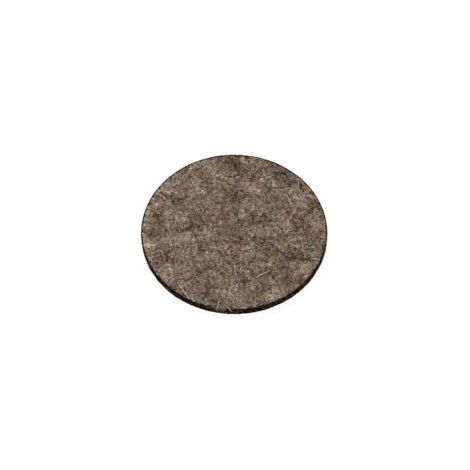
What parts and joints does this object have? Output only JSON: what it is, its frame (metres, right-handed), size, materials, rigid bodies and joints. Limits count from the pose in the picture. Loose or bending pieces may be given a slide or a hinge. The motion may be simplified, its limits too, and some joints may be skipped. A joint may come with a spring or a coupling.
{
  "type": "felt furniture pad",
  "caption": "Round flat disc of heather brown pressed wool felt that goes under a furniture foot so it slides and doesn't scratch the floor.",
  "frame": {"origin": "centre of the pad's flat back, the face that goes against the furniture foot", "axes": "+Z along the pad's own axis, square to both faces, from the back towards the gliding face; X and Y lie in the back and are alike, because the pad is round"},
  "size_m": [0.075, 0.075, 0.003],
  "materials": {
    "felt": "pressed wool felt, matt, heather brown with fine fibres"
  },
  "bodies": {
    "root": {"felt_pad": "felt"}
  },
  "joints": []
}
